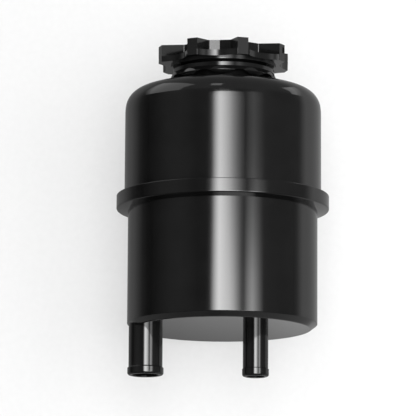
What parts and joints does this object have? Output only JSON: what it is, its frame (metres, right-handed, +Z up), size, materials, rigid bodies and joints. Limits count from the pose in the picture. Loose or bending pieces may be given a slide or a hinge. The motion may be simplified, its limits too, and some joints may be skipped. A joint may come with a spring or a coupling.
{
  "type": "hydraulic reservoir",
  "caption": "Round remote fluid reservoir with a mid-height band, domed shoulder, star screw cap with dipstick, return filter inside and hose spigots underneath.",
  "frame": {"origin": "on the can's axis, halfway up the cylinder under the band that a clamp grips", "axes": "+Z up along the can's axis towards the cap, -Y to the front, +X to the right: the return spigot lies on the X axis at +X"},
  "size_m": [0.101, 0.101, 0.1585],
  "materials": {
    "shell_plastic": "moulded black, semi-gloss",
    "spigot_plastic": "moulded black, gloss",
    "cap_plastic": "moulded black, semi-gloss",
    "inner_plastic": "natural grey nylon",
    "seal_rubber": "matt black nitrile rubber",
    "slip_plastic": "white low-friction plastic",
    "filter_paper": "resin-impregnated pleated paper",
    "filter_steel": "zinc-plated pressed steel",
    "spring_steel": "bright drawn wire",
    "dipstick_plastic": "moulded yellow"
  },
  "bodies": {
    "reservoir": {"lower_shell": "shell_plastic", "upper_shell": "shell_plastic", "shell_seal": "seal_rubber", "filter_bridge": "filter_steel", "filler_neck": "shell_plastic", "neck_gasket": "seal_rubber", "collar_gasket": "seal_rubber", "neck_collar": "shell_plastic", "supply_spigot": "spigot_plastic", "return_spigot": "spigot_plastic", "return_standpipe": "inner_plastic", "filter_grommet": "seal_rubber", "filter_bottom_cap": "filter_steel", "filter_core": "filter_steel", "filter_element": "filter_paper", "filter_top_cap": "filter_steel", "filter_spring": "spring_steel", "bypass_cage": "filter_steel", "bypass_spring": "spring_steel"},
    "bypass": {"bypass_valve": "filter_steel"},
    "gasket": {"cap_gasket": "seal_rubber"},
    "slip": {"slip_ring": "slip_plastic"},
    "cap": {"cap_shell": "cap_plastic", "cap_plug": "cap_plastic", "vent_retainer": "inner_plastic", "vent_spring": "spring_steel", "dipstick_blade": "dipstick_plastic", "dipstick_rivet": "spring_steel"},
    "vent": {"vent_valve": "inner_plastic"}
  },
  "joints": [
    {"name": "cap_lift", "type": "slide", "parent": "reservoir", "child": "gasket", "axis": [0, 0, 1], "range_m": [0, 0.06]},
    {"name": "cap_rise", "type": "slide", "parent": "gasket", "child": "slip", "axis": [0, 0, 1], "range_m": [0, 0.0062]},
    {"name": "cap_turn", "type": "hinge", "parent": "slip", "child": "cap", "pos_m": [0, 0, 0.0969], "axis": [0, 0, 1], "range_deg": [0, 540]},
    {"name": "vent_lift", "type": "slide", "parent": "cap", "child": "vent", "axis": [0, 0, 1], "range_m": [0, 0.0015], "stiffness_N_per_m": 100, "deforming": ["vent_spring"]},
    {"name": "bypass_lift", "type": "slide", "parent": "reservoir", "child": "bypass", "axis": [0, 0, 1], "range_m": [0, 0.003], "stiffness_N_per_m": 500, "deforming": ["bypass_spring"]}
  ],
  "couplings": [
    {"joint": "cap_rise", "follows": "cap_turn", "m_per_rad": 0.00063662}
  ]
}
